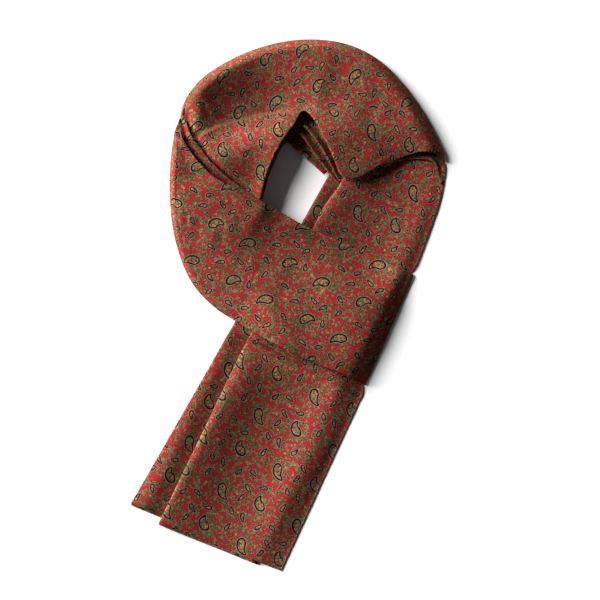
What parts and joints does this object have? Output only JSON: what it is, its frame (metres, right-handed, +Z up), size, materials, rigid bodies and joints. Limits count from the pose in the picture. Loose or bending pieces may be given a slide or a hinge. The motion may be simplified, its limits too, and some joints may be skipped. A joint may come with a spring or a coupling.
{
  "type": "silk neck scarf",
  "caption": "Silk neck scarf with a paisley print, folded in half and laid flat as a loop with its tails drawn through the bight.",
  "frame": {"origin": "middle of the laid scarf's box, on the surface that it lies on", "axes": "+Z up from the surface, +Y from the tails' hems towards the neck loop, +X to the viewer's right as seen from above"},
  "size_m": [0.3143, 0.5307, 0.0269],
  "materials": {
    "printed_silk": "silk twill with a soft sheen, printed with small paisleys"
  },
  "bodies": {
    "root": {"arc_under_floor": "printed_silk", "arc_under_middle": "printed_silk", "arc_under_upper": "printed_silk", "crossing_band": "printed_silk", "crossing_under": "printed_silk", "front_rise": "printed_silk", "front_tail": "printed_silk", "hidden_bight": "printed_silk", "hidden_folds": "printed_silk", "neck_arc": "printed_silk", "rear_rise": "printed_silk", "rear_tail": "printed_silk"}
  },
  "joints": []
}
